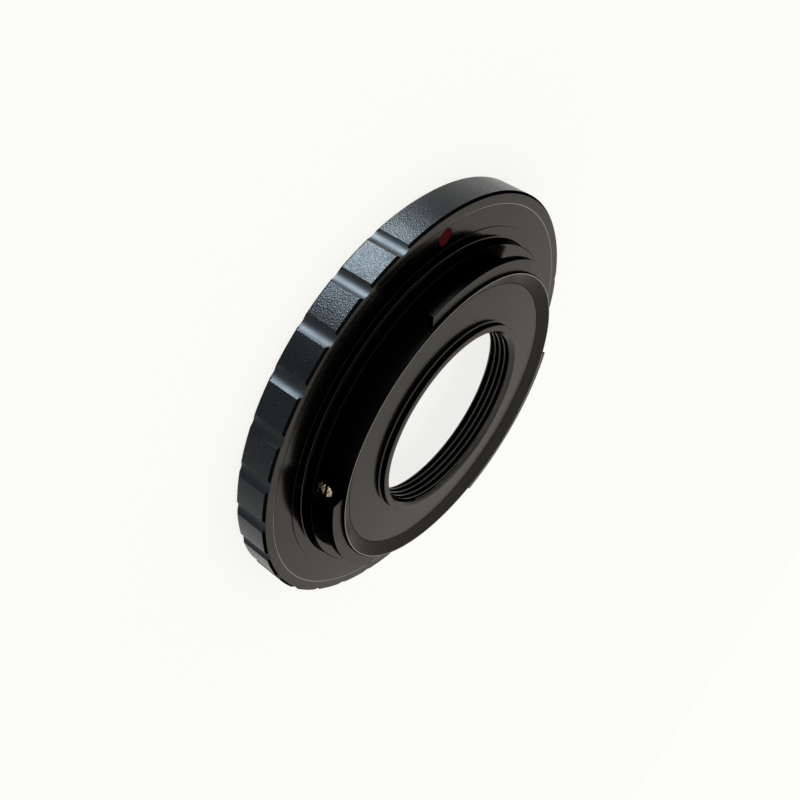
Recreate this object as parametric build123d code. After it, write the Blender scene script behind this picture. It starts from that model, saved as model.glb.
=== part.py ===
from build123d import *
import os
from math import cos, degrees, radians, sin, sqrt

# Lens mount adapter. It lies on its lens side, with +Z along the optical axis towards the camera and the
# index mark on +Y. Lengths are in millimetres and angles in degrees, counted from +X towards +Y.

# Grip flange
GRIP_DIAMETER = 58.4
FLANGE_THICKNESS = 4.6
FRONT_CHAMFER = 0.2
REAR_CHAMFER = 0.3

# Notches round the grip: evenly divided, with a run of divisions left plain
NOTCH_DIVISIONS = 30
PLAIN_DIVISIONS = 7
PLAIN_ARC_ANGLE = 56.1
NOTCH_WIDTH = 2.0
NOTCH_DEPTH = 0.45

# Camera face of the flange: a fine turned groove near the rim, and a low step round the hub that the
# camera's mount sits on. Shares are of the face's width, from the hub out to the grip
RIM_GROOVE_SHARE = 0.742
RIM_GROOVE_WIDTH = 0.3
RIM_GROOVE_DEPTH = 0.15
FACE_STEP_SHARE = 0.267
FACE_STEP_HEIGHT = 0.1

# Index mark and the blind hole for the camera's lock pin, both in the flange face
INDEX_ANGLE = 90.0
INDEX_SHARE = 0.533
DOT_DIAMETER = 2.1
DOT_RECESS_DEPTH = 0.25
DOT_PAINT_THICKNESS = 0.2
DOT_CLEARANCE = 0.02
LOCK_HOLE_ANGLE = 280.0
LOCK_HOLE_SHARE = 0.483
LOCK_HOLE_DIAMETER = 2.2
LOCK_HOLE_DEPTH = 1.8

# Barrel, and the hub that stands out from its foot. The bore opens in a cone from the disc to the rim's lip
BARREL_DIAMETER = 41.7
BARREL_HEIGHT = 4.5
HUB_LEDGE = 2.35
HUB_HEIGHT = 1.5
HUB_FOOT = 0.3
HUB_EDGE = 0.1
RIM_WALL = 1.85
RIM_EDGE = 0.15
RIM_LIP = 0.1

# Bayonet lugs: evenly spaced round the barrel, one wider than the others so that it goes in one way only
LUG_REACH = 1.5
LUG_ROOT = 0.4
LUG_THICKNESS = 1.03
LUG_SETBACK = 0.35
LUG_FIRST_ANGLE = 80.0
LUG_WIDTHS = (56.5, 56.5, 64.5)
LUG_END_BEVEL = 0.45

# Threaded ring: a plain bore at the thread's inner diameter stands for the lens thread. The lens shoulder
# seats on its underside, a little nearer the camera than the camera's own seat is
THREAD_INNER_DIAMETER = 24.7
THREAD_ENTRY = 0.52
SEAT_COUNTERSINK = 0.65
SEAT_OFFSET = 0.17
COLLAR_DIAMETER = 27.24
COLLAR_FOOT = 0.2
COLLAR_EDGE = 0.08
DISC_RECESS = 0.88
RING_EDGE = 0.06
RING_CLEARANCE = 0.05

# Lens-side pocket: narrower than the ring, so that it leaves a ledge for the ring to sit on, and flared out
# under the ledge, so that only a narrow ring of the lens-side face is left
POCKET_DIAMETER = 35.6
LEDGE_THICKNESS = 1.2
LENS_FACE_WIDTH = 1.8

# Grub screws: radial, a little proud of the barrel, with a cone point that enters the ring's groove
SCREW_COUNT = 2
SCREW_FIRST_ANGLE = 173.0
SCREW_DIAMETER = 1.92
SCREW_RISE = 1.43
SCREW_LENGTH = 2.8
SCREW_TIP_DIAMETER = 0.5
SCREW_PROUD = 0.2
SCREW_SLOT_WIDTH = 0.35
SCREW_SLOT_DEPTH = 0.5
SCREW_CLEARANCE = 0.04
POINT_CLEARANCE = 0.05

# Radii
GRIP_R = GRIP_DIAMETER / 2
BARREL_R = BARREL_DIAMETER / 2
BORE_R = BARREL_R - RIM_WALL
LUG_R = BARREL_R + LUG_REACH
HUB_R = BARREL_R + HUB_LEDGE
FACE_WIDTH = GRIP_R - HUB_R
STEP_R = HUB_R + FACE_STEP_SHARE * FACE_WIDTH
GROOVE_R = HUB_R + RIM_GROOVE_SHARE * FACE_WIDTH
INDEX_R = HUB_R + INDEX_SHARE * FACE_WIDTH
LOCK_HOLE_R = HUB_R + LOCK_HOLE_SHARE * FACE_WIDTH
RING_R = BORE_R - RING_CLEARANCE
COLLAR_R = COLLAR_DIAMETER / 2
THREAD_R = THREAD_INNER_DIAMETER / 2
POCKET_R = POCKET_DIAMETER / 2
FLARE_R = GRIP_R - REAR_CHAMFER - LENS_FACE_WIDTH
SCREW_R = SCREW_DIAMETER / 2
SCREW_TIP_R = SCREW_TIP_DIAMETER / 2

# Heights above the lens-side face
FACE_Z = FLANGE_THICKNESS
STEP_Z = FACE_Z + FACE_STEP_HEIGHT
HUB_Z = FACE_Z + HUB_HEIGHT
RIM_Z = FACE_Z + BARREL_HEIGHT
LUG_BACK_Z = RIM_Z - LUG_SETBACK - LUG_THICKNESS
SEAT_Z = STEP_Z + SEAT_OFFSET
DISC_Z = RIM_Z - DISC_RECESS
SCREW_Z = SEAT_Z + SCREW_RISE

# Radial places of a grub screw when it is tight, and the groove that its point enters
SCREW_HEAD_R = BARREL_R + SCREW_PROUD
SCREW_POINT_R = SCREW_HEAD_R - SCREW_LENGTH
SCREW_CONE_LENGTH = SCREW_R - SCREW_TIP_R
RING_GROOVE_BOTTOM_R = SCREW_POINT_R - SCREW_TIP_R - POINT_CLEARANCE * sqrt(2)
RING_GROOVE_DEPTH = RING_R - RING_GROOVE_BOTTOM_R


def polar(radius, angle):
    """Point at a radius and an angle in the plane of the flange."""
    return (radius * cos(radians(angle)), radius * sin(radians(angle)))


def turned(outline):
    """Solid turned about Z from (radius, height) points."""
    return revolve(Plane.XZ * make_face(Polyline(*outline, close=True)), Axis.Z)


def body_blank():
    """Flange, hub, barrel, pocket and ledge, before any milling."""
    outline = [
        (FLARE_R, 0),
        (GRIP_R - REAR_CHAMFER, 0),
        (GRIP_R, REAR_CHAMFER),
        (GRIP_R, FACE_Z - FRONT_CHAMFER),
        (GRIP_R - FRONT_CHAMFER, FACE_Z),
        (GROOVE_R + RIM_GROOVE_WIDTH / 2, FACE_Z),
        (GROOVE_R, FACE_Z - RIM_GROOVE_DEPTH),
        (GROOVE_R - RIM_GROOVE_WIDTH / 2, FACE_Z),
        (STEP_R, FACE_Z),
        (STEP_R, STEP_Z),
        (HUB_R + HUB_FOOT, STEP_Z),
        (HUB_R, STEP_Z + HUB_FOOT),
        (HUB_R, HUB_Z - HUB_EDGE),
        (HUB_R - HUB_EDGE, HUB_Z),
        (BARREL_R, HUB_Z),
        (BARREL_R, RIM_Z - RIM_EDGE),
        (BARREL_R - RIM_EDGE, RIM_Z),
        (BARREL_R - RIM_EDGE - RIM_LIP, RIM_Z),
        (BORE_R, DISC_Z),
        (BORE_R, SEAT_Z),
        (POCKET_R, SEAT_Z),
        (POCKET_R, SEAT_Z - LEDGE_THICKNESS),
    ]
    return turned(outline)


def lug(centre, width):
    """One bayonet lug, rooted in the barrel wall, with bevelled ends."""
    root_r = BARREL_R - LUG_ROOT
    bevel = degrees(LUG_END_BEVEL / LUG_R)
    start = centre - width / 2
    end = centre + width / 2
    outline = [
        Line(polar(root_r, start), polar(LUG_R, start + bevel)),
        ThreePointArc(polar(LUG_R, start + bevel), polar(LUG_R, centre), polar(LUG_R, end - bevel)),
        Line(polar(LUG_R, end - bevel), polar(root_r, end)),
        ThreePointArc(polar(root_r, end), polar(root_r, centre), polar(root_r, start)),
    ]
    return Pos(0, 0, LUG_BACK_Z) * extrude(make_face(outline), LUG_THICKNESS)


def lugs():
    """The three lugs, evenly spaced."""
    spacing = 360 / len(LUG_WIDTHS)
    return [lug(LUG_FIRST_ANGLE + i * spacing, width) for i, width in enumerate(LUG_WIDTHS)]


def notch_cutters():
    """Round cutters for the grip notches, on every division outside the plain arc."""
    cutter_r = (NOTCH_WIDTH ** 2 / 4 + NOTCH_DEPTH ** 2) / (2 * NOTCH_DEPTH)
    axis_r = GRIP_R - NOTCH_DEPTH + cutter_r
    pitch = 360 / NOTCH_DIVISIONS
    first = PLAIN_DIVISIONS // 2 + 1
    last = NOTCH_DIVISIONS - first
    height = 3 * FLANGE_THICKNESS
    cutters = []
    for i in range(first, last + 1):
        place = Pos(*polar(axis_r, PLAIN_ARC_ANGLE + i * pitch), FLANGE_THICKNESS / 2)
        cutters.append(place * Cylinder(cutter_r, height))
    return cutters


def radial(angle, height):
    """Place with its local Z pointing outwards from the axis, at an angle and a height."""
    return Rot(0, 0, angle) * Pos(0, 0, height) * Rot(0, 90, 0)


def screw_angles():
    """Angles of the grub screws, evenly spaced."""
    return [SCREW_FIRST_ANGLE + i * 360 / SCREW_COUNT for i in range(SCREW_COUNT)]


def screw_hole(angle):
    """Drill for one tapped hole: through the barrel wall and the top of the hub, in from outside."""
    start = BORE_R - RING_GROOVE_DEPTH
    depth = HUB_R + HUB_FOOT - start
    drill = Pos(0, 0, start) * extrude(Circle(SCREW_R + SCREW_CLEARANCE), depth)
    return radial(angle, SCREW_Z) * drill


def face_hole(angle, radius, hole_radius, depth):
    """Blind drill into the flange face."""
    return Pos(*polar(radius, angle), FACE_Z - depth) * extrude(Circle(hole_radius), 2 * depth)


def bayonet_body():
    """The outer piece: notched flange, hub, barrel and lugs, with its holes."""
    body = body_blank() + lugs()
    body -= notch_cutters()
    body -= [screw_hole(angle) for angle in screw_angles()]
    body -= face_hole(INDEX_ANGLE, INDEX_R, DOT_DIAMETER / 2 + DOT_CLEARANCE, DOT_RECESS_DEPTH)
    body -= face_hole(LOCK_HOLE_ANGLE, LOCK_HOLE_R, LOCK_HOLE_DIAMETER / 2, LOCK_HOLE_DEPTH)
    return body


def threaded_ring():
    """The inner disc with its collar, lens bore and the groove for the grub screws."""
    outline = [
        (THREAD_R, SEAT_Z + SEAT_COUNTERSINK),
        (THREAD_R + SEAT_COUNTERSINK, SEAT_Z),
        (RING_R - RING_EDGE, SEAT_Z),
        (RING_R, SEAT_Z + RING_EDGE),
        (RING_R, SCREW_Z - RING_GROOVE_DEPTH),
        (RING_GROOVE_BOTTOM_R, SCREW_Z),
        (RING_R, SCREW_Z + RING_GROOVE_DEPTH),
        (RING_R, DISC_Z - RING_EDGE),
        (RING_R - RING_EDGE, DISC_Z),
        (COLLAR_R + COLLAR_FOOT, DISC_Z),
        (COLLAR_R, DISC_Z + COLLAR_FOOT),
        (COLLAR_R, RIM_Z - COLLAR_EDGE),
        (COLLAR_R - COLLAR_EDGE, RIM_Z),
        (THREAD_R + THREAD_ENTRY, RIM_Z),
        (THREAD_R, RIM_Z - THREAD_ENTRY),
    ]
    return turned(outline)


def grub_screw(angle):
    """One slotted grub screw with a cone point towards the axis."""
    shank_length = SCREW_LENGTH - SCREW_CONE_LENGTH
    shank = Pos(0, 0, SCREW_POINT_R + SCREW_CONE_LENGTH) * extrude(Circle(SCREW_R), shank_length)
    point = Pos(0, 0, SCREW_POINT_R + SCREW_CONE_LENGTH / 2) * Cone(SCREW_TIP_R, SCREW_R, SCREW_CONE_LENGTH)
    slot = Pos(0, 0, SCREW_HEAD_R) * Box(SCREW_SLOT_WIDTH, 2 * SCREW_DIAMETER, 2 * SCREW_SLOT_DEPTH)
    return radial(angle, SCREW_Z) * (shank + point - slot)


def index_dot():
    """The red paint in the index recess."""
    bottom = FACE_Z - DOT_RECESS_DEPTH
    disc = extrude(Circle(DOT_DIAMETER / 2), DOT_PAINT_THICKNESS)
    return Pos(*polar(INDEX_R, INDEX_ANGLE), bottom) * disc


def main():
    """Write one STEP file for each piece."""
    os.makedirs("parts", exist_ok=True)
    pieces = {
        "bayonet_body": bayonet_body(),
        "threaded_ring": threaded_ring(),
        "index_dot": index_dot(),
    }
    for i, angle in enumerate(screw_angles()):
        pieces[f"grub_screw_{i + 1}"] = grub_screw(angle)
    for name, piece in pieces.items():
        export_step(piece, f"parts/{name}.step")


main()
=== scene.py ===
from math import acos, ceil, cos, pi, radians, sin, tan

import bmesh
import bpy
from bpy.props import (
    FloatProperty,
    FloatVectorProperty,
    IntProperty,
    PointerProperty,
)
from mathutils import Matrix, Vector


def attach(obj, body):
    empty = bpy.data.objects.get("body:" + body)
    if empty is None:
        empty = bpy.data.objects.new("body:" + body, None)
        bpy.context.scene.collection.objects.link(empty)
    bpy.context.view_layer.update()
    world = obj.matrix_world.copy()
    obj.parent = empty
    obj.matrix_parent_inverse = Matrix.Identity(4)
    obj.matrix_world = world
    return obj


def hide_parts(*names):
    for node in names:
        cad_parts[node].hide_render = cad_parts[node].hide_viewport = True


bl_info = {
    "name": "Lens Mount Adapter",
    "version": (1, 0, 0),
    "blender": (4, 5, 0),
    "location": "3D View > Sidebar > Adapter",
    "description": "Dresses the adapter's solids: bayonet flange, threaded ring, grub screws, mark",
    "category": "Object",
}

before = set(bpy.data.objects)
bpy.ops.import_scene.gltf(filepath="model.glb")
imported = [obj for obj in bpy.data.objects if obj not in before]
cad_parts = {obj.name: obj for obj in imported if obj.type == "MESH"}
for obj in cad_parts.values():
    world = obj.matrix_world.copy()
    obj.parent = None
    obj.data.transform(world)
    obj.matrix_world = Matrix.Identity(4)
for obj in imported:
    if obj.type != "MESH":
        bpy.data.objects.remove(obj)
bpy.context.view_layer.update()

MM = 0.001
MERGE_GAP = 0.0005 * MM


# Settings that a user would change


def length(name, description, millimetres):
    """A length property, given in millimetres and kept in metres."""
    return FloatProperty(
        name=name, description=description, default=millimetres * MM, min=0.0, precision=5, unit="LENGTH"
    )


def turn(name, description, degrees):
    """An angle property, given in degrees."""
    return FloatProperty(name=name, description=description, default=radians(degrees), unit="ROTATION")


def whole(name, description, number, least):
    """A count property."""
    return IntProperty(name=name, description=description, default=number, min=least)


def colour(name, description, rgb):
    """A colour property."""
    return FloatVectorProperty(
        name=name, description=description, default=rgb, size=3, min=0.0, max=1.0, subtype="COLOR"
    )


class BodySizes(bpy.types.PropertyGroup):
    """Sizes of the bayonet body."""

    grip_diameter: length("Grip diameter", "Across the grip, outside the notches", 58.4)
    flange_thickness: length("Flange thickness", "From the lens side to the flange face", 4.6)
    front_chamfer: length("Front chamfer", "Chamfer round the flange face", 0.28)
    rear_chamfer: length("Rear chamfer", "Chamfer round the lens-side face", 0.3)
    notch_divisions: whole("Divisions", "Divisions round the grip", 30, 3)
    plain_divisions: whole("Plain", "Divisions left without a notch", 7, 1)
    plain_angle: turn("Plain arc", "Bearing of the middle of the plain arc", 56.1)
    notch_width: length("Notch width", "Width of a grip notch", 2.0)
    notch_depth: length("Notch depth", "Depth of a grip notch", 0.45)
    notch_round: length("Notch round", "Round on the notches' edges", 0.06)
    groove_radius: length("Groove radius", "Radius of the turned groove near the rim", 27.652)
    groove_width: length("Groove width", "Width of the turned groove", 0.14)
    groove_depth: length("Groove depth", "Depth of the turned groove", 0.025)
    step_radius: length("Step radius", "Radius of the low step round the hub", 24.802)
    step_height: length("Step height", "Height of the low step", 0.1)
    hub_diameter: length("Hub diameter", "Across the hub", 46.4)
    hub_height: length("Hub height", "From the flange face to the hub's top", 1.5)
    hub_fillet: length("Hub fillet", "Fillet at the hub's foot", 0.35)
    hub_edge: length("Hub edge", "Chamfer round the hub's top", 0.1)
    barrel_diameter: length("Barrel diameter", "Across the barrel", 41.7)
    barrel_height: length("Barrel height", "From the flange face to the rim's end", 4.5)
    rim_wall: length("Rim wall", "Wall of the barrel", 1.85)
    rim_edge: length("Rim edge", "Chamfer on the rim's end", 0.14)
    rim_lip: length("Rim lip", "Flat on the rim's end", 0.12)
    cone_depth: length("Cone depth", "From the rim's end to the foot of the cone inside it", 0.88)
    lug_reach: length("Lug reach", "How far a lug stands out from the barrel", 1.5)
    lug_root: length("Lug root", "How far a lug is rooted in the barrel's wall", 0.4)
    lug_fillet: length("Lug fillet", "Fillet between a lug's front and the barrel", 0.08)
    lug_thickness: length("Lug thickness", "Thickness of a lug", 1.03)
    lug_setback: length("Lug setback", "From the rim's end to a lug's front", 0.35)
    lug_bevel: length("Lug bevel", "Bevel at a lug's ends", 0.45)
    lug_angle: turn("First lug", "Bearing of the first lug's middle", 80.0)
    lug_widths: FloatVectorProperty(
        name="Lug widths",
        description="Angle that each lug spans",
        default=(radians(56.5), radians(56.5), radians(64.5)),
        size=3,
        unit="ROTATION",
    )
    pocket_diameter: length("Pocket diameter", "Across the lens-side pocket", 35.6)
    ledge_thickness: length("Ledge thickness", "Thickness of the ledge that the ring sits on", 1.2)
    lens_face_width: length("Lens face width", "Width of the lens-side face round the flared pocket", 1.8)
    seat_height: length("Seat height", "Height of the ledge that the ring sits on", 4.87)
    pin_angle: turn("Lock hole", "Bearing of the lock pin's hole", 280.0)
    pin_radius: length("Lock hole radius", "From the axis to the lock pin's hole", 26.098)
    pin_diameter: length("Lock hole diameter", "Across the lock pin's hole", 2.2)
    pin_depth: length("Lock hole depth", "Depth of the lock pin's hole", 1.8)
    edge_round: length("Edge round", "Round on the turned edges", 0.03)


class RingSizes(bpy.types.PropertyGroup):
    """Sizes of the threaded ring."""

    diameter: length("Ring diameter", "Across the ring", 37.9)
    edge: length("Ring edge", "Chamfer on the ring's edge", 0.02)
    groove_depth: length("Groove depth", "Depth of the groove for the screw points", 1.0207)
    disc_recess: length("Disc recess", "How far the disc lies under the rim's end", 0.88)
    collar_diameter: length("Collar diameter", "Across the collar", 27.24)
    collar_fillet: length("Collar fillet", "Fillet at the collar's foot", 0.25)
    collar_edge: length("Collar edge", "Chamfer on the collar's outer edge", 0.08)
    thread_diameter: length("Thread diameter", "Across the thread's crests", 24.7)
    thread_pitch: length("Thread pitch", "Pitch of the lens thread", 0.79375)
    thread_depth: length("Thread depth", "Depth of the lens thread", 0.4)
    thread_entry: length("Thread entry", "Chamfer at the collar's mouth", 0.52)
    countersink: length("Countersink", "Chamfer at the lens side of the thread", 0.65)
    edge_round: length("Edge round", "Round on the turned edges", 0.03)


class ScrewSizes(bpy.types.PropertyGroup):
    """Sizes of the grub screws."""

    count: whole("Screws", "Screws round the barrel", 2, 1)
    first_angle: turn("First screw", "Bearing of the first screw", 173.0)
    height: length("Height", "Height of the screws' axes", 6.3)
    head_radius: length("Head radius", "From the adapter's axis to a screw's head", 21.05)
    diameter: length("Diameter", "Across a screw's thread", 1.92)
    screw_length: length("Length", "From head to point", 2.8)
    tip_diameter: length("Tip diameter", "Across the end of the cone point", 0.5)
    hole_diameter: length("Hole diameter", "Across the tapped hole", 2.0)
    thread_pitch: length("Thread pitch", "Pitch of the screw's thread", 0.4)
    thread_depth: length("Thread depth", "Depth of the screw's thread", 0.16)
    slot_width: length("Slot width", "Width of the driver slot", 0.35)
    slot_depth: length("Slot depth", "Depth of the driver slot", 0.5)


class MarkSizes(bpy.types.PropertyGroup):
    """Sizes of the red index mark."""

    angle: turn("Index bearing", "Bearing of the mark", 90.0)
    radius: length("Index radius", "From the axis to the mark", 26.398)
    diameter: length("Paint diameter", "Across the paint", 2.1)
    thickness: length("Paint thickness", "Thickness of the paint", 0.2)
    recess_depth: length("Recess depth", "Depth of the recess", 0.25)
    recess_diameter: length("Recess diameter", "Across the recess", 2.14)


class Finishes(bpy.types.PropertyGroup):
    """Colours of the finishes, among them painted shade and painted highlight, and of the stage."""

    turned_colour: colour("Turned faces", "Black anodised turned faces", (0.045, 0.0423, 0.0375))
    # Painted shade: the same anodise as the turned faces, made much darker for the upright walls, the
    # thread, the front chamfer, the groove's inner side and the screws' slots, where shade falls.
    painted_shade_colour: colour("Walls", "Upright walls and thread, which hold more dye", (0.003, 0.003, 0.0028))
    # Painted shade: a darker copy of the turned anodise for the cone inside the rim.
    cone_shade_colour: colour("Rim cone", "Cone inside the barrel's rim", (0.024, 0.023, 0.02))
    # Painted highlight: a brighter copy of the turned anodise for the rim's lip and the groove's outer side.
    painted_highlight_colour: colour("Bright edges", "Rim's lip and outer side of the groove", (0.16, 0.153, 0.134))
    grip_colour: colour("Grip", "Black anodised blasted grip", (0.006, 0.008, 0.01))
    ring_colour: colour("Ring", "Black anodised threaded ring", (0.044, 0.0414, 0.0367))
    brass_colour: colour("Brass", "Grub screws", (0.9, 0.77, 0.58))
    paint_colour: colour("Index paint", "Red paint of the index mark", (0.05, 0.0025, 0.004))
    floor_colour: colour("Floor", "Floor and background", (0.95, 0.95, 0.94))


# Meshes

ROUND_SHARE = 0.45
LARGE_ROUND = 0.15 * MM
LARGE_ROUND_STEPS = 6
SMALL_ROUND_STEPS = 2
SMALL_COLUMNS = 64
LUG_COLUMNS = 96
RING_COLUMNS = 360
SCREW_COLUMNS = 72
SHARP_ANGLE = radians(28)
PAINT_SHARP_ANGLE = radians(40)


def rounded(corners):
    """Closed outline of (radius, height) points, in metres, from corners given with the round of each."""
    outline = []
    for i, (radius, height, round_size) in enumerate(corners):
        corner = Vector((radius, height))
        before = Vector(corners[i - 1][:2]) - corner
        after = Vector(corners[(i + 1) % len(corners)][:2]) - corner
        if round_size == 0:
            outline.append(corner)
            continue
        half = before.angle(after) / 2
        reach = min(round_size / tan(half), ROUND_SHARE * before.length, ROUND_SHARE * after.length)
        size = reach * tan(half)
        centre = corner + (before.normalized() + after.normalized()).normalized() * (size / sin(half))
        first = corner + before.normalized() * reach - centre
        last = corner + after.normalized() * reach - centre
        steps = LARGE_ROUND_STEPS if size > LARGE_ROUND else SMALL_ROUND_STEPS
        for k in range(steps + 1):
            outline.append(centre + first.slerp(last, k / steps).normalized() * size)
    return [(p.x, p.y) for p in outline]


def turned(name, outline, bearings, closed=True):
    """Mesh turned about Z from (radius, height) points, with its columns at the given bearings."""
    columns = len(bearings)
    points = []
    for radius, height in outline:
        points += [(radius * cos(a), radius * sin(a), height) for a in bearings]
    rows = len(outline)
    faces = []
    for i in range(rows if closed else rows - 1):
        low = i * columns
        high = (i + 1) % rows * columns
        for j in range(columns):
            k = (j + 1) % columns
            faces.append((low + j, low + k, high + k, high + j))
    mesh = bpy.data.meshes.new(name)
    mesh.from_pydata(points, [], faces)
    return outward(mesh)


def outward(mesh):
    """The mesh with doubles merged and its faces turned outwards."""
    work = bmesh.new()
    work.from_mesh(mesh)
    bmesh.ops.remove_doubles(work, verts=work.verts, dist=MERGE_GAP)
    bmesh.ops.dissolve_degenerate(work, edges=work.edges, dist=MERGE_GAP)
    bmesh.ops.recalc_face_normals(work, faces=work.faces)
    work.to_mesh(mesh)
    work.free()
    return mesh


def even_bearings(count):
    """Bearings evenly round the axis, from the back."""
    return [-pi + 2 * pi * j / count for j in range(count)]


def joined(meshes):
    """One mesh of several that don't meet."""
    work = bmesh.new()
    for mesh in meshes:
        work.from_mesh(mesh)
        bpy.data.meshes.remove(mesh)
    mesh = bpy.data.meshes.new("joined")
    work.to_mesh(mesh)
    work.free()
    return mesh


def worker(mesh):
    """A passing object for a modifier to work on."""
    item = bpy.data.objects.new("worker", mesh)
    bpy.context.scene.collection.objects.link(item)
    return item


def evaluated(item):
    """Plain mesh of an object with its modifiers done; the object is removed."""
    bpy.context.view_layer.update()
    graph = bpy.context.evaluated_depsgraph_get()
    mesh = bpy.data.meshes.new_from_object(
        item.evaluated_get(graph), preserve_all_data_layers=True, depsgraph=graph
    )
    item.modifiers.clear()
    bpy.data.objects.remove(item)
    return mesh


def cut_or_join(mesh, tool, operation):
    """The mesh with the tool's shape cut from it or joined to it."""
    item = worker(mesh)
    helper = worker(tool)
    step = item.modifiers.new("shape", "BOOLEAN")
    step.operation = operation
    step.solver = "EXACT"
    step.object = helper
    result = evaluated(item)
    bpy.data.objects.remove(helper)
    return result


def shaded(mesh, sharp_angle):
    """The mesh shaded smooth, with sharp edges past an angle and normals that keep flat faces flat."""
    mesh.shade_smooth()
    mesh.set_sharp_from_angle(angle=sharp_angle)
    # The modifier passes over faces this small, so it works on the mesh in millimetres
    mesh.transform(Matrix.Scale(1 / MM, 4))
    item = worker(mesh)
    step = item.modifiers.new("normals", "WEIGHTED_NORMAL")
    step.mode = "FACE_AREA"
    step.weight = 50
    step.keep_sharp = True
    finished = evaluated(item)
    finished.transform(Matrix.Scale(MM, 4))
    return finished


def piece(name, mesh, body, node):
    """The finished piece, which stands for a CAD node and rides on its body."""
    mesh.name = name
    item = bpy.data.objects.new(name, mesh)
    bpy.context.scene.collection.objects.link(item)
    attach(item, body)
    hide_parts(node)
    return item


def drill(diameter, bottom, top, mouth=0.0):
    """Round cutter along Z, with a countersink for the mouth at its top."""
    radius = diameter / 2
    over = top + mouth
    outline = [(0, bottom), (radius, bottom), (radius, top - mouth), (radius + 2 * mouth, over), (0, over)]
    return turned("drill", outline, even_bearings(SMALL_COLUMNS), closed=False)


# Node trees


def node(tree, kind, *inputs, **settings):
    """A new node with its settings and its inputs, which are values, links or None for the default."""
    made = tree.nodes.new(kind)
    for key, value in settings.items():
        setattr(made, key, value)
    for socket, value in zip(made.inputs, inputs):
        if isinstance(value, bpy.types.NodeSocket):
            tree.links.new(value, socket)
        elif value is not None:
            socket.default_value = value
    return made


def calc(tree, operation, *inputs):
    """Output of a math node."""
    return node(tree, "ShaderNodeMath", *inputs, operation=operation).outputs[0]


def new_tree(name, sockets):
    """Empty geometry tree with named inputs, and the outputs of its input node by name."""
    tree = bpy.data.node_groups.new(name, "GeometryNodeTree")
    for label, kind in sockets:
        tree.interface.new_socket(label, in_out="INPUT", socket_type=kind)
    tree.interface.new_socket("Geometry", in_out="OUTPUT", socket_type="NodeSocketGeometry")
    return tree, tree.nodes.new("NodeGroupInput").outputs


def close_tree(tree, geometry, material):
    """Ends a tree in real geometry with its material."""
    real = node(tree, "GeometryNodeRealizeInstances", geometry)
    finished = node(tree, "GeometryNodeSetMaterial", real.outputs[0], None, material)
    node(tree, "NodeGroupOutput", finished.outputs[0])
    return tree


def grown(tree, mesh, values):
    """Plain mesh that a tree makes from a mesh, with its named inputs set."""
    item = worker(mesh)
    step = item.modifiers.new(tree.name, "NODES")
    step.node_group = tree
    for socket in tree.interface.items_tree:
        if socket.in_out == "INPUT" and socket.name in values:
            step[socket.identifier] = values[socket.name]
    result = evaluated(item)
    result.materials.clear()
    result.materials.append(values["Material"])
    result.polygons.foreach_set("material_index", [0] * len(result.polygons))
    return result


def notch_tree():
    """Tree that cuts round notches into a turned grip, on every division outside the plain arc."""
    number = "NodeSocketFloat"
    tree, given = new_tree(
        "Grip notches",
        [
            ("Geometry", "NodeSocketGeometry"),
            ("Grip Radius", number),
            ("Notch Width", number),
            ("Notch Depth", number),
            ("Notch Round", number),
            ("Divisions", "NodeSocketInt"),
            ("Plain Divisions", "NodeSocketInt"),
            ("Plain Angle", number),
            ("Material", "NodeSocketMaterial"),
        ],
    )
    place = node(tree, "GeometryNodeInputPosition").outputs[0]
    x, y, z = node(tree, "ShaderNodeSeparateXYZ", place).outputs
    square = calc(tree, "ADD", calc(tree, "MULTIPLY", x, x), calc(tree, "MULTIPLY", y, y))
    radius = calc(tree, "SQRT", square)
    bearing = calc(tree, "SUBTRACT", calc(tree, "ARCTAN2", y, x), given["Plain Angle"])
    pitch = calc(tree, "DIVIDE", 2 * pi, given["Divisions"])
    division = calc(tree, "ROUND", calc(tree, "DIVIDE", bearing, pitch))
    aside = calc(tree, "SUBTRACT", bearing, calc(tree, "MULTIPLY", division, pitch))
    turns = calc(tree, "ROUND", calc(tree, "DIVIDE", division, given["Divisions"]))
    from_plain = calc(tree, "SUBTRACT", division, calc(tree, "MULTIPLY", turns, given["Divisions"]))
    half_plain = calc(tree, "MULTIPLY", given["Plain Divisions"], 0.5)
    notched = calc(tree, "GREATER_THAN", calc(tree, "ABSOLUTE", from_plain), half_plain)
    half_width = calc(tree, "MULTIPLY", given["Notch Width"], 0.5)
    depth = given["Notch Depth"]
    squares = calc(tree, "ADD", calc(tree, "POWER", half_width, 2.0), calc(tree, "POWER", depth, 2.0))
    cutter = calc(tree, "DIVIDE", squares, calc(tree, "MULTIPLY", depth, 2.0))
    centre = calc(tree, "ADD", calc(tree, "SUBTRACT", given["Grip Radius"], depth), cutter)
    across = calc(tree, "MULTIPLY", centre, calc(tree, "SINE", aside))
    inside = calc(tree, "SUBTRACT", calc(tree, "POWER", cutter, 2.0), calc(tree, "POWER", across, 2.0))
    within = calc(tree, "GREATER_THAN", inside, 0.0)
    wall = calc(
        tree, "SUBTRACT", calc(tree, "MULTIPLY", centre, calc(tree, "COSINE", aside)),
        calc(tree, "SQRT", calc(tree, "MAXIMUM", inside, 0.0)),
    )
    blend = calc(tree, "DIVIDE", given["Notch Round"], radius)
    pull = calc(tree, "SMOOTH_MIN", calc(tree, "DIVIDE", wall, radius), 1.0, blend)
    chosen = calc(tree, "MULTIPLY", notched, within)
    kept = calc(tree, "SUBTRACT", 1.0, calc(tree, "MULTIPLY", chosen, calc(tree, "SUBTRACT", 1.0, pull)))
    moved = node(
        tree, "ShaderNodeCombineXYZ", calc(tree, "MULTIPLY", x, kept), calc(tree, "MULTIPLY", y, kept), z
    )
    shaped = node(tree, "GeometryNodeSetPosition", given["Geometry"], None, moved.outputs[0])
    return close_tree(tree, shaped.outputs[0], given["Material"])


ROWS_PER_TURN = 16
CREST_SHARE = 0.25
ROOT_SHARE = 0.125
# Keeps a row at the start of a turn from falling into the turn before it
PHASE_NUDGE = 0.0001


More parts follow.
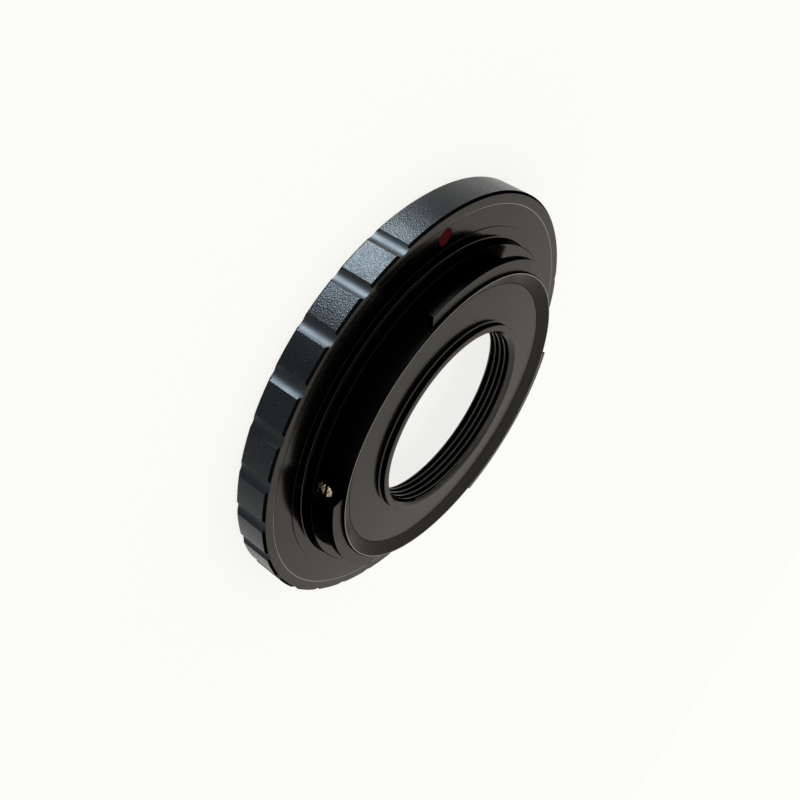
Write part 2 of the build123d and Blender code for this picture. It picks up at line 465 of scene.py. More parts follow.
def thread_tree():
    """Tree that adds a threaded wall to a turned mesh. Side is 1 in a bore and -1 on a shank."""
    number = "NodeSocketFloat"
    whole = "NodeSocketInt"
    tree, given = new_tree(
        "Screw thread",
        [
            ("Geometry", "NodeSocketGeometry"),
            ("Crest Radius", number),
            ("Depth", number),
            ("Side", number),
            ("Pitch", number),
            ("Bottom", number),
            ("Top", number),
            ("Bottom Cone", number),
            ("Top Cone", number),
            ("Turns", whole),
            ("Columns", whole),
            ("Material", "NodeSocketMaterial"),
        ],
    )
    rows = calc(tree, "ADD", calc(tree, "MULTIPLY", given["Turns"], float(ROWS_PER_TURN)), 1.0)
    columns = calc(tree, "ADD", given["Columns"], 1.0)
    span = calc(tree, "MULTIPLY", given["Turns"], given["Pitch"])
    sheet = node(tree, "GeometryNodeMeshGrid", 2 * pi, span, columns, rows)
    place = node(tree, "GeometryNodeInputPosition").outputs[0]
    bearing, row, _ = node(tree, "ShaderNodeSeparateXYZ", place).outputs
    rise = calc(tree, "MULTIPLY", given["Pitch"], calc(tree, "DIVIDE", bearing, 2 * pi))
    middle = calc(tree, "MULTIPLY", calc(tree, "ADD", given["Bottom"], given["Top"]), 0.5)
    height = calc(tree, "ADD", calc(tree, "ADD", row, rise), middle)
    height = calc(tree, "MINIMUM", calc(tree, "MAXIMUM", height, given["Bottom"]), given["Top"])
    from_start = calc(tree, "ADD", row, calc(tree, "MULTIPLY", span, 0.5))
    turns = calc(tree, "DIVIDE", from_start, given["Pitch"])
    phase = calc(tree, "FRACT", calc(tree, "ADD", turns, PHASE_NUDGE))
    from_crest = calc(tree, "MULTIPLY", calc(tree, "ABSOLUTE", calc(tree, "SUBTRACT", phase, 0.5)), 2.0)
    flank = node(
        tree, "ShaderNodeMapRange", from_crest, CREST_SHARE, 1.0 - ROOT_SHARE, 0.0, 1.0, clamp=True
    ).outputs[0]
    groove = calc(tree, "MULTIPLY", flank, given["Depth"])
    top_cone = calc(tree, "SUBTRACT", given["Top Cone"], calc(tree, "SUBTRACT", given["Top"], height))
    low_cone = calc(tree, "SUBTRACT", given["Bottom Cone"], calc(tree, "SUBTRACT", height, given["Bottom"]))
    depth = calc(tree, "MAXIMUM", groove, calc(tree, "MAXIMUM", top_cone, low_cone))
    radius = calc(tree, "ADD", given["Crest Radius"], calc(tree, "MULTIPLY", given["Side"], depth))
    moved = node(
        tree,
        "ShaderNodeCombineXYZ",
        calc(tree, "MULTIPLY", radius, calc(tree, "COSINE", bearing)),
        calc(tree, "MULTIPLY", radius, calc(tree, "SINE", bearing)),
        height,
    )
    wall = node(tree, "GeometryNodeSetPosition", sheet.outputs[0], None, moved.outputs[0])
    both = tree.nodes.new("GeometryNodeJoinGeometry")
    tree.links.new(wall.outputs[0], both.inputs[0])
    tree.links.new(given["Geometry"], both.inputs[0])
    merged = node(tree, "GeometryNodeMergeByDistance", both.outputs[0], None, MERGE_GAP)
    return close_tree(tree, merged.outputs[0], given["Material"])


# Materials

# Marks to the metre
LATHE_RINGS = 7000.0
LATHE_GRAIN = 9000.0
LATHE_CLOUDS = 160.0
BLAST_PITS = 6200.0
BLAST_CLOUDS = 260.0
DUST_CELLS = 2600.0
BRASS_MARKS = 2600.0
BRASS_CLOUDS = 2200.0
PAINT_STREAKS = 2600.0

# Heights of the fine relief
LATHE_RELIEF = 0.004 * MM
BLAST_RELIEF = 0.03 * MM
BRASS_RELIEF = 0.3 * MM
PAINT_RELIEF = 0.02 * MM

DUST_COLOUR = (0.06, 0.065, 0.07, 1.0)
DUST_REACH = 0.16
DUST_FREE_SHARE = 0.85
BLAST_TINT = (0.38, 0.43, 0.47, 1.0)

# Roughness and low-angle sheen of the turned finishes; the low sheen of the walls, cone and slot goes with
# their painted shade, and the full sheen of the edges with their painted highlight
FACE_FINISH = (0.13, 0.74)
WALL_FINISH = (0.25, 0.15)
LUG_FINISH = (0.32, 0.74)
CONE_FINISH = (0.22, 0.6)
EDGE_FINISH = (0.25, 1.0)
RING_FINISH = (0.18, 0.74)
SLOT_SHADE_FINISH = (0.4, 0.15)

# Roughness, strength of the grain and shine of the blasted finishes
GRIP_FINISH = (0.28, 0.75, 0.2)
NOTCH_FINISH = (0.48, 0.2, 0.35)


def new_material(name):
    """Material with a Principled shader, and its tree, shader and Object coordinates."""
    material = bpy.data.materials.new(name)
    material.use_nodes = True
    tree = material.node_tree
    shader = tree.nodes["Principled BSDF"]
    place = node(tree, "ShaderNodeTexCoord").outputs["Object"]
    return material, tree, shader, place


def noise(tree, place, per_metre, detail):
    """Fine-grain noise with so many grains to the metre."""
    made = node(tree, "ShaderNodeTexNoise", place)
    made.inputs["Scale"].default_value = per_metre
    made.inputs["Detail"].default_value = detail
    return made.outputs["Fac"]


def turning_marks(tree, place, per_metre):
    """Noise that changes only with the distance from the axis, as a lathe tool's marks do."""
    x, y, _ = node(tree, "ShaderNodeSeparateXYZ", place).outputs
    flat = node(tree, "ShaderNodeCombineXYZ", x, y, 0.0).outputs[0]
    radius = node(tree, "ShaderNodeVectorMath", flat, operation="LENGTH").outputs["Value"]
    made = node(tree, "ShaderNodeTexNoise", noise_dimensions="1D")
    tree.links.new(radius, made.inputs["W"])
    made.inputs["Scale"].default_value = per_metre
    made.inputs["Detail"].default_value = 3.0
    return made.outputs["Fac"]


def weighed(tree, first, second, share):
    """The first value by its share, with the second for the rest."""
    rest = calc(tree, "MULTIPLY", second, 1.0 - share)
    return calc(tree, "ADD", calc(tree, "MULTIPLY", first, share), rest)


def shade(tree, factor, rgb, low, high):
    """A colour that varies between two strengths of itself."""
    mixed = node(tree, "ShaderNodeMix", data_type="RGBA")
    tree.links.new(factor, mixed.inputs["Factor"])
    mixed.inputs["A"].default_value = (*[c * low for c in rgb], 1.0)
    mixed.inputs["B"].default_value = (*[min(c * high, 1.0) for c in rgb], 1.0)
    return mixed.outputs["Result"]


def spread(tree, factor, low, high):
    """A value from low to high as a noise goes over its usual range."""
    return node(tree, "ShaderNodeMapRange", factor, 0.3, 0.7, low, high).outputs[0]


def bump(tree, shader, height, strength, depth):
    """Fine relief on a shader."""
    made = node(tree, "ShaderNodeBump")
    made.inputs["Strength"].default_value = strength
    made.inputs["Distance"].default_value = depth
    tree.links.new(height, made.inputs["Height"])
    tree.links.new(made.outputs["Normal"], shader.inputs["Normal"])


def turned_anodise(name, rgb, rough, sheen):
    """Black anodised aluminium off the lathe: dark face on, and with its sheen at a low angle."""
    material, tree, shader, place = new_material(name)
    rings = turning_marks(tree, place, LATHE_RINGS)
    grain = noise(tree, place, LATHE_GRAIN, 2.0)
    clouds = noise(tree, place, LATHE_CLOUDS, 3.0)
    mixed = weighed(tree, rings, grain, 0.6)
    tone = weighed(tree, mixed, clouds, 0.5)
    tree.links.new(shade(tree, spread(tree, tone, 0.0, 1.0), rgb, 0.9, 1.1), shader.inputs["Base Color"])
    tree.links.new(spread(tree, mixed, rough - 0.04, rough + 0.04), shader.inputs["Roughness"])
    shader.inputs["Metallic"].default_value = 1.0
    shader.inputs["Specular Tint"].default_value = (sheen, 0.985 * sheen, 0.95 * sheen, 1.0)
    bump(tree, shader, mixed, 0.25, LATHE_RELIEF)
    return material


def blasted_anodise(name, rgb, rough, grain, shine):
    """Black anodised aluminium over bead blasting: small even pits that sparkle, with specks of dust."""
    material, tree, shader, place = new_material(name)
    dimples = node(tree, "ShaderNodeTexVoronoi", place)
    dimples.inputs["Scale"].default_value = BLAST_PITS
    pits = dimples.outputs["Distance"]
    clouds = noise(tree, place, BLAST_CLOUDS, 4.0)
    tone = weighed(tree, pits, clouds, 0.6)
    black = shade(tree, spread(tree, tone, 0.0, 1.0), rgb, 0.6, 1.5)
    cells = node(tree, "ShaderNodeTexVoronoi", place)
    cells.inputs["Scale"].default_value = DUST_CELLS
    chance = node(tree, "ShaderNodeSeparateColor", cells.outputs["Color"]).outputs[0]
    near = calc(tree, "LESS_THAN", cells.outputs["Distance"], DUST_REACH)
    specks = calc(tree, "MULTIPLY", near, calc(tree, "GREATER_THAN", chance, DUST_FREE_SHARE))
    dusted = node(tree, "ShaderNodeMix", data_type="RGBA")
    tree.links.new(specks, dusted.inputs["Factor"])
    tree.links.new(black, dusted.inputs["A"])
    dusted.inputs["B"].default_value = DUST_COLOUR
    tree.links.new(dusted.outputs["Result"], shader.inputs["Base Color"])
    tree.links.new(spread(tree, clouds, rough - 0.06, rough + 0.06), shader.inputs["Roughness"])
    shader.inputs["IOR"].default_value = 1.5
    shader.inputs["Specular IOR Level"].default_value = shine
    shader.inputs["Specular Tint"].default_value = BLAST_TINT
    bump(tree, shader, pits, grain, BLAST_RELIEF)
    return material


def turned_brass(name, rgb):
    """Brass of the grub screws, chewed a little by the driver."""
    material, tree, shader, place = new_material(name)
    marks = noise(tree, place, BRASS_MARKS, 3.0)
    clouds = noise(tree, place, BRASS_CLOUDS, 3.0)
    tree.links.new(shade(tree, spread(tree, clouds, 0.0, 1.0), rgb, 0.8, 1.15), shader.inputs["Base Color"])
    tree.links.new(spread(tree, marks, 0.3, 0.5), shader.inputs["Roughness"])
    shader.inputs["Metallic"].default_value = 1.0
    bump(tree, shader, marks, 1.0, BRASS_RELIEF)
    return material


def index_paint(name, rgb):
    """Red paint wiped into the index recess, a little uneven."""
    material, tree, shader, place = new_material(name)
    streaks = noise(tree, place, PAINT_STREAKS, 4.0)
    tree.links.new(shade(tree, spread(tree, streaks, 0.0, 1.0), rgb, 0.7, 1.25), shader.inputs["Base Color"])
    tree.links.new(spread(tree, streaks, 0.4, 0.55), shader.inputs["Roughness"])
    shader.inputs["Specular IOR Level"].default_value = 0.01
    bump(tree, shader, streaks, 0.3, PAINT_RELIEF)
    return material


# Pieces

# The upright part of a face's normal: under the first on a wall, over the last on a flat face
WALL_SLOPE = 0.4
STEEP_SLOPE = 0.85
FLAT_SLOPE = 0.95

# Share of the groove's width from its middle in to its bottom, which makes the outer side the wide one
GROOVE_BOTTOM = 0.375
MARK_MOUTH = 0.03 * MM
PIN_MOUTH = 0.05 * MM
SMALL_GAP = 0.02 * MM


def grip_bearings(sizes):
    """Columns of the flange: close together in each notch, with one on each of its edges."""
    pitch = 2 * pi / sizes.notch_divisions
    radius = sizes.grip_diameter / 2
    cutter = ((sizes.notch_width / 2) ** 2 + sizes.notch_depth ** 2) / (2 * sizes.notch_depth)
    centre = radius - sizes.notch_depth + cutter
    edge = acos((radius ** 2 + centre ** 2 - cutter ** 2) / (2 * radius * centre))
    step = sizes.notch_round / 2 / radius
    land = (pitch / 2 - edge - 2 * step) / 4
    half = [edge * k / 4 for k in (1, 2, 3)] + [edge + step * k for k in (-2, -1, 0, 1, 2)]
    half += [edge + 2 * step + land * k for k in (1, 2, 3)]
    offsets = [-offset for offset in reversed(half)] + [0.0] + half + [pitch / 2]
    bearings = []
    for i in range(sizes.notch_divisions):
        middle = sizes.plain_angle + i * pitch
        bearings += [middle + offset for offset in offsets]
    return bearings


def groove_bottom(sizes):
    """Radius of the turned groove's bottom."""
    return sizes.groove_radius - GROOVE_BOTTOM * sizes.groove_width


def body_outline(sizes):
    """Section of the flange, hub, barrel, pocket and ledge."""
    fine = sizes.edge_round
    grip = sizes.grip_diameter / 2
    face = sizes.flange_thickness
    step = face + sizes.step_height
    hub = sizes.hub_diameter / 2
    hub_top = face + sizes.hub_height
    barrel = sizes.barrel_diameter / 2
    rim = face + sizes.barrel_height
    bore = barrel - sizes.rim_wall
    pocket = sizes.pocket_diameter / 2
    half_groove = sizes.groove_width / 2
    lens_face = grip - sizes.rear_chamfer
    lip = barrel - sizes.rim_edge
    return rounded(
        [
            (lens_face - sizes.lens_face_width, 0, fine),
            (lens_face, 0, fine),
            (grip, sizes.rear_chamfer, fine),
            (grip, face - sizes.front_chamfer, fine),
            (grip - sizes.front_chamfer, face, fine),
            (sizes.groove_radius + half_groove, face, 0),
            (groove_bottom(sizes), face - sizes.groove_depth, 0),
            (sizes.groove_radius - half_groove, face, 0),
            (sizes.step_radius, face, fine / 2),
            (sizes.step_radius, step, fine),
            (hub, step, sizes.hub_fillet),
            (hub, hub_top - sizes.hub_edge, fine),
            (hub - sizes.hub_edge, hub_top, fine),
            (barrel, hub_top, fine),
            (barrel, rim - sizes.rim_edge, fine),
            (lip, rim, fine),
            (lip - sizes.rim_lip, rim, fine),
            (bore, rim - sizes.cone_depth, fine),
            (bore, sizes.seat_height, 0),
            (pocket, sizes.seat_height, fine),
            (pocket, sizes.seat_height - sizes.ledge_thickness, fine),
        ]
    )


def lug_mesh(sizes, middle, width):
    """One bayonet lug with bevelled ends and eased edges, rooted in the barrel's wall."""
    fine = sizes.edge_round
    barrel = sizes.barrel_diameter / 2
    tip = barrel + sizes.lug_reach
    root = barrel - sizes.lug_root
    front = sizes.flange_thickness + sizes.barrel_height - sizes.lug_setback
    back = front - sizes.lug_thickness
    cove = front + sizes.lug_fillet
    under = barrel - fine / 4
    section = rounded(
        [
            (root, back, 0),
            (tip, back, fine),
            (tip, front, fine),
            (under, front, sizes.lug_fillet),
            (under, cove, 0),
            (root, cove, 0),
        ]
    )
    centre = Vector((barrel, (front + back) / 2))
    full = width / 2 - fine / barrel
    stations = [full * (2 * k / LUG_COLUMNS - 1) for k in range(LUG_COLUMNS + 1)]
    work = bmesh.new()
    rows = []
    for station in [-width / 2] + stations + [width / 2]:
        eased = 1.0 - fine / sizes.lug_thickness if abs(station) > full * 1.0001 else 1.0
        row = []
        for point in section:
            radius, height = centre + (Vector(point) - centre) * eased
            bevel = sizes.lug_bevel / tip * max(radius - barrel, 0.0) / sizes.lug_reach
            bearing = middle + station * (1.0 - bevel / full)
            row.append(work.verts.new((radius * cos(bearing), radius * sin(bearing), height)))
        rows.append(row)
    count = len(section)
    for first, second in zip(rows, rows[1:]):
        for i in range(count):
            j = (i + 1) % count
            work.faces.new((first[i], first[j], second[j], second[i]))
    work.faces.new(rows[0])
    work.faces.new(rows[-1])
    mesh = bpy.data.meshes.new("lug")
    work.to_mesh(mesh)
    work.free()
    return outward(mesh)


def screw_place(screws, index):
    """Place of a grub screw: its local Z points out from the adapter's axis."""
    bearing = screws.first_angle + index * 2 * pi / screws.count
    height = Matrix.Translation((0, 0, screws.height))
    return Matrix.Rotation(bearing, 4, "Z") @ height @ Matrix.Rotation(pi / 2, 4, "Y")


def body_finish(sizes, polygon):
    """Name of the finish that a face of the body has: the walls and cone take darker copies of the anodise
    as painted shade, and the edges a brighter copy as painted highlight.
    """
    radius, height = polygon.center.xy.length, polygon.center.z
    slope = abs(polygon.normal.z)
    grip = sizes.grip_diameter / 2
    face = sizes.flange_thickness
    barrel = sizes.barrel_diameter / 2
    rim = face + sizes.barrel_height
    lip = barrel - sizes.rim_edge - sizes.rim_lip
    if slope < WALL_SLOPE and radius > grip - SMALL_GAP:
        return "grip"
    if slope < WALL_SLOPE and radius > sizes.groove_radius:
        return "notches"
    # Painted shade on the front chamfer
    if radius > grip - sizes.front_chamfer - sizes.edge_round and height > face / 2:
        return "walls"
    # In the groove: painted highlight on the outer side, painted shade on the inner side
    if abs(radius - sizes.groove_radius) < sizes.groove_width / 2 and height > face / 2:
        return "edges" if radius > groove_bottom(sizes) else "walls"
    # Painted highlight on the rim's lip
    if slope > FLAT_SLOPE and lip < radius < barrel and height > rim - sizes.rim_edge:
        return "edges"
    # Painted shade on the steep walls
    if slope < STEEP_SLOPE:
        return "walls"
    if radius > barrel and height > rim - sizes.lug_setback - sizes.lug_thickness:
        return "lug_fronts"
    # Painted shade on the cone inside the rim
    if radius < lip and height > rim - sizes.cone_depth:
        return "cone"
    return "faces"


def bayonet_body(sizes, screws, mark, finishes):
    """Flange with its notches, hub, barrel, lugs and holes."""
    blank = turned("blank", body_outline(sizes), grip_bearings(sizes))
    black = finishes.turned_colour
    dressed = {
        "faces": turned_anodise("anodised_turned_faces", black, *FACE_FINISH),
        # Walls, cone and edges are darker and brighter copies of the anodise: painted shade and painted
        # highlight
        "walls": turned_anodise("anodised_painted_shade_walls", finishes.painted_shade_colour, *WALL_FINISH),
        "lug_fronts": turned_anodise("anodised_lug_fronts", black, *LUG_FINISH),
        "cone": turned_anodise("anodised_rim_cone_painted_shade", finishes.cone_shade_colour, *CONE_FINISH),
        "edges": turned_anodise("anodised_painted_highlight_edges", finishes.painted_highlight_colour, *EDGE_FINISH),
        "grip": blasted_anodise("anodised_blasted_grip", finishes.grip_colour, *GRIP_FINISH),
        "notches": blasted_anodise("anodised_milled_notches", finishes.grip_colour, *NOTCH_FINISH),
    }
    mesh = grown(
        notch_tree(),
        blank,
        {
            "Grip Radius": sizes.grip_diameter / 2,
            "Notch Width": sizes.notch_width,
            "Notch Depth": sizes.notch_depth,
            "Notch Round": sizes.notch_round,
            "Divisions": sizes.notch_divisions,
            "Plain Divisions": sizes.plain_divisions,
            "Plain Angle": sizes.plain_angle,
            "Material": dressed["faces"],
        },
    )
    spacing = 2 * pi / len(sizes.lug_widths)
    lugs = [lug_mesh(sizes, sizes.lug_angle + i * spacing, w) for i, w in enumerate(sizes.lug_widths)]
    mesh = cut_or_join(mesh, joined(lugs), "UNION")
    face = sizes.flange_thickness
    holes = []
    for i in range(screws.count):
        inside = screws.head_radius - 1.2 * screws.screw_length
        hole = drill(screws.hole_diameter, inside, sizes.hub_diameter / 2 + 1 * MM)
        hole.transform(screw_place(screws, i))
        holes.append(hole)
    recess = drill(mark.recess_diameter, face - mark.recess_depth, face, MARK_MOUTH)
    recess.transform(Matrix.Rotation(mark.angle, 4, "Z") @ Matrix.Translation((mark.radius, 0, 0)))
    pin = drill(sizes.pin_diameter, face - sizes.pin_depth, face, PIN_MOUTH)
    pin.transform(Matrix.Rotation(sizes.pin_angle, 4, "Z") @ Matrix.Translation((sizes.pin_radius, 0, 0)))
    mesh = outward(cut_or_join(mesh, joined(holes + [recess, pin]), "DIFFERENCE"))
    mesh.materials.clear()
    for material in dressed.values():
        mesh.materials.append(material)
    order = list(dressed)
    for polygon in mesh.polygons:
        polygon.material_index = order.index(body_finish(sizes, polygon))
    return piece("bayonet_flange", shaded(mesh, SHARP_ANGLE), "body", "bayonet_body")


def threaded_ring(sizes, body, screws, thread, finishes):
    """Inner disc with its collar and the lens thread."""
    fine = sizes.edge_round
    edge = sizes.edge
    outer = sizes.diameter / 2
    collar = sizes.collar_diameter / 2
    crest = sizes.thread_diameter / 2
    top = body.flange_thickness + body.barrel_height
    disc = top - sizes.disc_recess
    seat = body.seat_height
    section = rounded(
        [
            (crest + sizes.countersink, seat, 0),
            (outer - edge, seat, fine),
            (outer, seat + edge, fine),
            (outer, screws.height - sizes.groove_depth, fine),
            (outer - sizes.groove_depth, screws.height, fine),
            (outer, screws.height + sizes.groove_depth, fine),
            (outer, disc - edge, fine),
            (outer - edge, disc, fine),
            (collar, disc, sizes.collar_fillet),
            (collar, top - sizes.collar_edge, fine),
            (collar - sizes.collar_edge, top, fine),
            (crest + sizes.thread_entry, top, 0),
        ]
    )
    blank = turned("ring_blank", section, even_bearings(RING_COLUMNS), closed=False)
    finish = turned_anodise("anodised_ring", finishes.ring_colour, *RING_FINISH)
    mesh = grown(
        thread,
        blank,
        {
            "Crest Radius": crest,
            "Depth": sizes.thread_depth,
            "Side": 1.0,
            "Pitch": sizes.thread_pitch,
            "Bottom": seat,
            "Top": top,
            "Bottom Cone": sizes.countersink,
            "Top Cone": sizes.thread_entry,
            "Turns": ceil((top - seat) / sizes.thread_pitch) + 1,
            "Columns": RING_COLUMNS,
            "Material": finish,
        },
    )
    mesh = shaded(outward(mesh), SHARP_ANGLE)
    # Painted shade: the thread's flanks and the ring's upright outer walls, the collar's among them, take
    # the dark copy of the anodise
    mesh.materials.append(turned_anodise("anodised_ring_painted_shade", finishes.painted_shade_colour, *WALL_FINISH))
    for polygon in mesh.polygons:
        radius, height = polygon.center.xy.length, polygon.center.z
        flank = crest + SMALL_GAP < radius < crest + sizes.thread_depth and height < top - sizes.thread_entry
        wall = radius > collar - sizes.collar_edge and abs(polygon.normal.z) < WALL_SLOPE
        polygon.material_index = len(mesh.materials) - 1 if flank or wall else 0
    return piece("lens_thread_ring", mesh, "ring", "threaded_ring")


def grub_screws(sizes, thread, finishes):
    """The slotted grub screws, each on its own body."""
    brass = turned_brass("turned_brass", finishes.brass_colour)
    head = sizes.head_radius
    point = head - sizes.screw_length
    crest = sizes.diameter / 2
    tip = sizes.tip_diameter / 2
    head_chamfer = 1.1 * sizes.thread_depth
    bearings = even_bearings(SCREW_COLUMNS)
    caps = joined(
        [
            turned("tip", [(0, point), (tip, point)], bearings, closed=False),
            turned("head", [(crest - head_chamfer, head), (0, head)], bearings, closed=False),
        ]
    )
    mesh = grown(
        thread,
        caps,
        {
            "Crest Radius": crest,
            "Depth": sizes.thread_depth,
            "Side": -1.0,
            "Pitch": sizes.thread_pitch,
            "Bottom": point,
            "Top": head,
            "Bottom Cone": crest - tip,
            "Top Cone": head_chamfer,
            "Turns": ceil(sizes.screw_length / sizes.thread_pitch) + 1,
            "Columns": SCREW_COLUMNS,
            "Material": brass,
        },
    )
    work = bmesh.new()
    bmesh.ops.create_cube(work, size=1.0)
    reach = 2 * sizes.diameter
    bmesh.ops.scale(work, vec=(sizes.slot_width, reach, 2 * sizes.slot_depth), verts=work.verts)
    bmesh.ops.translate(work, vec=(0, 0, head), verts=work.verts)
    slot = bpy.data.meshes.new("slot")
    work.to_mesh(slot)
    work.free()
    mesh = shaded(outward(cut_or_join(outward(mesh), slot, "DIFFERENCE")), SHARP_ANGLE)
    floor = head - 1.01 * sizes.slot_depth
    # Painted shade: the slot and the sides of the thread take the dark copy of the anodise
    mesh.materials.append(turned_anodise("slot_painted_shade", finishes.painted_shade_colour, *SLOT_SHADE_FINISH))
    for polygon in mesh.polygons:
        centre = polygon.center
        in_slot = abs(centre.x) < 0.51 * sizes.slot_width and floor < centre.z < head - 0.01 * MM
        on_thread = centre.xy.length > crest - head_chamfer and centre.z < head - 0.5 * head_chamfer
        if in_slot or on_thread:
            polygon.material_index = len(mesh.materials) - 1
    for i in range(sizes.count):
        copy = mesh.copy()
        copy.transform(screw_place(sizes, i))
        piece(f"brass_screw_{i + 1}", copy, f"screw_{i + 1}", f"grub_screw_{i + 1}")
    bpy.data.meshes.remove(mesh)


def index_mark(sizes, body, finishes):
    """Red paint that fills the index recess, with its edge drawn up by the recess wall."""
    bottom = body.flange_thickness - sizes.recess_depth
    top = bottom + sizes.thickness
    radius = sizes.diameter / 2
    sag = 0.05 * MM
    steps = 8
    surface = [(radius * k / steps, top - sag * (1 - (k / steps) ** 4)) for k in range(steps, -1, -1)]
    outline = [(0, bottom), (radius, bottom)] + surface
    mesh = turned("paint", outline, even_bearings(SMALL_COLUMNS), closed=False)
    mesh.transform(Matrix.Rotation(sizes.angle, 4, "Z") @ Matrix.Translation((sizes.radius, 0, 0)))
    mesh.materials.append(index_paint("red_index_paint", finishes.paint_colour))
    return piece("red_index_dot", shaded(mesh, PAINT_SHARP_ANGLE), "body", "index_dot")


# Stage

WHITE = (0.99, 0.985, 0.945, 1.0)
SURROUNDINGS_AS_LIGHT = 0.95

CAMERA_SENSOR = 36.0
CAMERA_LENS = 41.96
CAMERA_NEAR, CAMERA_FAR = 0.005, 20.0
CAMERA_PLACE = Vector((-68.88, 87.53, 52.42)) * MM
CAMERA_RIGHT = (0.64746, 0.05319, 0.76024)
CAMERA_UP = (0.52657, 0.68992, -0.49673)
CAMERA_BACK = (-0.55093, 0.72193, 0.41869)

FLOOR_REACH = 3.0
FLOOR_DROP = 0.02 * MM
FLOOR_GLOW = 0.85

CARD_COLOUR = (0.02, 0.02, 0.02)
CARD_DROP = 0.6 * MM
CARD_RADIUS = 24 * MM
CARD_SIDES = (-24.5 * MM, 22 * MM)

WINDOW_PLACE = Vector((0.0453, 0.8648, -0.5)) * 0.4
WINDOW_WIDTH, WINDOW_HEIGHT = 0.28, 0.08
WINDOW_TINT = (0.82, 0.93, 1.0)
WINDOW_POWER = 10.0


def look_along(right, up, back, place):
    """Camera matrix from its own axes and its place."""
    columns = Matrix((right, up, back)).transposed().to_4x4()
    return Matrix.Translation(place) @ columns


def set_camera():
    """Camera at the photograph's viewing angle."""
    data = bpy.data.cameras.new("view")
    data.sensor_width = CAMERA_SENSOR
    data.lens = CAMERA_LENS
    data.clip_start = CAMERA_NEAR
    data.clip_end = CAMERA_FAR
    camera = bpy.data.objects.new("view", data)
    camera.matrix_world = look_along(CAMERA_RIGHT, CAMERA_UP, CAMERA_BACK, CAMERA_PLACE)
    bpy.context.scene.collection.objects.link(camera)
    bpy.context.scene.camera = camera


def set_window():
    """Soft box under the floor that faces the adapter and shows only as a gleam."""
    data = bpy.data.lights.new("window", "AREA")
    data.shape = "RECTANGLE"
    data.size = WINDOW_WIDTH
    data.size_y = WINDOW_HEIGHT
    data.color = WINDOW_TINT
    data.energy = WINDOW_POWER
    lamp = bpy.data.objects.new("window", data)
    lamp.location = WINDOW_PLACE
    lamp.rotation_euler = (-WINDOW_PLACE).to_track_quat("-Z", "Y").to_euler()
    lamp.visible_diffuse = False
    bpy.context.scene.collection.objects.link(lamp)


def seen_or_mirrored(tree):
    """1 on rays from the camera and on those that mirror or pass on what it sees, and 0 on lighting rays."""
    path = node(tree, "ShaderNodeLightPath").outputs
    seen = calc(tree, "MAXIMUM", path["Is Camera Ray"], path["Is Glossy Ray"])
    return calc(tree, "MAXIMUM", seen, path["Is Transmission Ray"])


def set_floor(finishes):
    """Pale floor that shows the shadow."""
    reach = FLOOR_REACH
    mesh = bpy.data.meshes.new("floor")
    corners = [(-reach, -reach, 0), (reach, -reach, 0), (reach, reach, 0), (-reach, reach, 0)]
    mesh.from_pydata(corners, [], [(0, 1, 2, 3)])
    material, tree, shader, place = new_material("pale_floor")
    grain = noise(tree, place, 40.0, 2.0)
    tree.links.new(shade(tree, grain, finishes.floor_colour, 0.99, 1.01), shader.inputs["Base Color"])
    shader.inputs["Roughness"].default_value = 0.9
    shader.inputs["Specular IOR Level"].default_value = 0.1
    white = node(tree, "ShaderNodeEmission", WHITE, 1.0)
    share = calc(tree, "MULTIPLY", seen_or_mirrored(tree), FLOOR_GLOW)
    mixed = node(tree, "ShaderNodeMixShader", share, shader.outputs[0], white.outputs[0])
    tree.links.new(mixed.outputs[0], tree.nodes["Material Output"].inputs["Surface"])
    mesh.materials.append(material)
    floor = bpy.data.objects.new("floor", mesh)
    floor.location.z = -FLOOR_DROP
    floor.visible_shadow = False
    bpy.context.scene.collection.objects.link(floor)


def set_card():
    """Dark card under the floor. Its disc keeps the window's light out of the lens hole, and its two sides
    keep a glaring low-angle reflection off the grip's ends."""
    work = bmesh.new()
    bmesh.ops.create_circle(work, cap_ends=True, segments=SMALL_COLUMNS, radius=CARD_RADIUS)
    reach = 2 * CARD_RADIUS
    for near in CARD_SIDES:
        far = near * 3
        corners = [(near, -reach), (far, -reach), (far, reach), (near, reach)]
        work.faces.new([work.verts.new((x, y, 0)) for x, y in corners])
    mesh = bpy.data.meshes.new("card")
    work.to_mesh(mesh)
    work.free()
    material, tree, shader, place = new_material("dark_card")
    grain = noise(tree, place, 400.0, 2.0)
    tree.links.new(shade(tree, grain, CARD_COLOUR, 0.9, 1.1), shader.inputs["Base Color"])
    mesh.materials.append(material)
    card = bpy.data.objects.new("card", mesh)
    card.location.z = -CARD_DROP
    bpy.context.scene.collection.objects.link(card)


def set_world():
    """White surroundings: full white where they are seen or mirrored, softer as light."""
    world = bpy.data.worlds.new("studio")
    world.use_nodes = True
    tree = world.node_tree
    background = tree.nodes["Background"]
    background.inputs["Color"].default_value = WHITE
    strength = node(
        tree, "ShaderNodeMapRange", seen_or_mirrored(tree), 0.0, 1.0, SURROUNDINGS_AS_LIGHT, 1.0
    )
    tree.links.new(strength.outputs[0], background.inputs["Strength"])
    bpy.context.scene.world = world


# Operators, panel and registration


class ADAPTER_OT_bayonet_body(bpy.types.Operator):
    """Make the notched flange with its bayonet lugs"""

    bl_idname = "adapter.bayonet_body"
    bl_label = "Bayonet Body"

    def execute(self, context):
        scene = context.scene
        bayonet_body(scene.adapter_body, scene.adapter_screws, scene.adapter_mark, scene.adapter_finishes)
        return {"FINISHED"}


class ADAPTER_OT_threaded_ring(bpy.types.Operator):
    """Make the inner ring with the lens thread"""

    bl_idname = "adapter.threaded_ring"
    bl_label = "Threaded Ring"

    def execute(self, context):
        scene = context.scene
        sizes, body, screws = scene.adapter_ring, scene.adapter_body, scene.adapter_screws
        threaded_ring(sizes, body, screws, thread_tree(), scene.adapter_finishes)
        return {"FINISHED"}


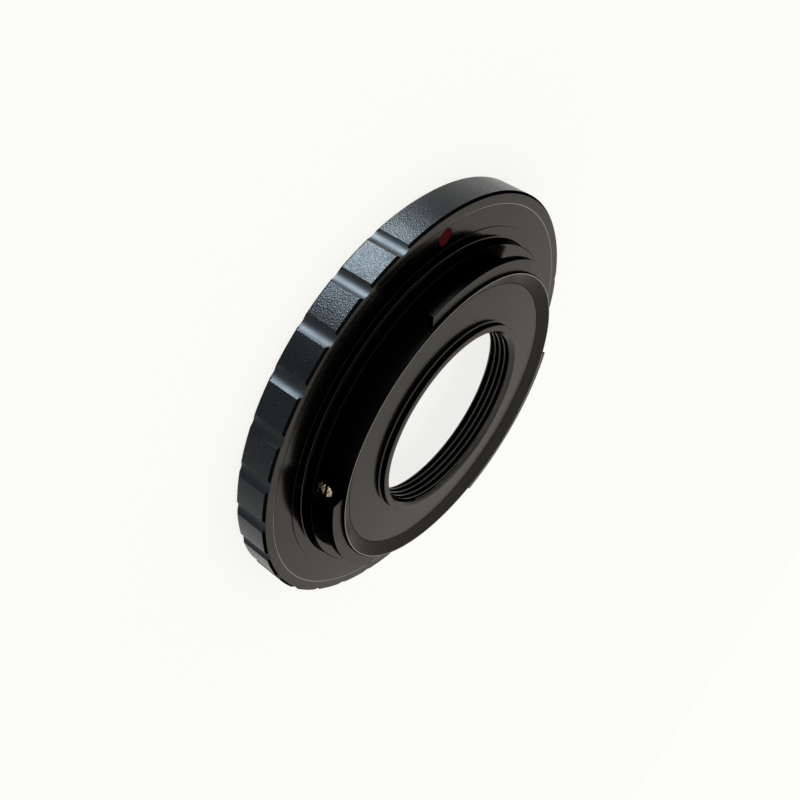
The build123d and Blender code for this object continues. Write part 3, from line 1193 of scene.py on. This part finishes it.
class ADAPTER_OT_grub_screws(bpy.types.Operator):
    """Make the slotted brass grub screws"""

    bl_idname = "adapter.grub_screws"
    bl_label = "Grub Screws"

    def execute(self, context):
        scene = context.scene
        grub_screws(scene.adapter_screws, thread_tree(), scene.adapter_finishes)
        return {"FINISHED"}


class ADAPTER_OT_index_mark(bpy.types.Operator):
    """Make the red index mark"""

    bl_idname = "adapter.index_mark"
    bl_label = "Index Mark"

    def execute(self, context):
        scene = context.scene
        index_mark(scene.adapter_mark, scene.adapter_body, scene.adapter_finishes)
        return {"FINISHED"}


class ADAPTER_OT_stage(bpy.types.Operator):
    """Make the floor, the lights, the surroundings and the camera"""

    bl_idname = "adapter.stage"
    bl_label = "Stage"

    def execute(self, context):
        context.scene.view_settings.view_transform = "Standard"
        set_floor(context.scene.adapter_finishes)
        set_card()
        set_world()
        set_window()
        set_camera()
        return {"FINISHED"}


STEPS = ("bayonet_body", "threaded_ring", "grub_screws", "index_mark", "stage")
SETTINGS = {
    "adapter_body": BodySizes,
    "adapter_ring": RingSizes,
    "adapter_screws": ScrewSizes,
    "adapter_mark": MarkSizes,
    "adapter_finishes": Finishes,
}


class ADAPTER_PT_steps(bpy.types.Panel):
    """Lists the steps and the settings"""

    bl_idname = "ADAPTER_PT_steps"
    bl_label = "Lens Mount Adapter"
    bl_space_type = "VIEW_3D"
    bl_region_type = "UI"
    bl_category = "Adapter"

    def draw(self, context):
        for step in STEPS:
            self.layout.operator(f"adapter.{step}")
        for name, group in SETTINGS.items():
            box = self.layout.box()
            box.label(text=group.__doc__)
            for key in group.__annotations__:
                box.prop(getattr(context.scene, name), key)


CLASSES = (
    *SETTINGS.values(),
    ADAPTER_OT_bayonet_body,
    ADAPTER_OT_threaded_ring,
    ADAPTER_OT_grub_screws,
    ADAPTER_OT_index_mark,
    ADAPTER_OT_stage,
    ADAPTER_PT_steps,
)


def register():
    for item in CLASSES:
        bpy.utils.register_class(item)
    for name, group in SETTINGS.items():
        setattr(bpy.types.Scene, name, PointerProperty(type=group))


def unregister():
    for name in SETTINGS:
        delattr(bpy.types.Scene, name)
    for item in reversed(CLASSES):
        bpy.utils.unregister_class(item)


def main():
    register()
    for step in STEPS:
        getattr(bpy.ops.adapter, step)()


if __name__ == "__main__":
    main()
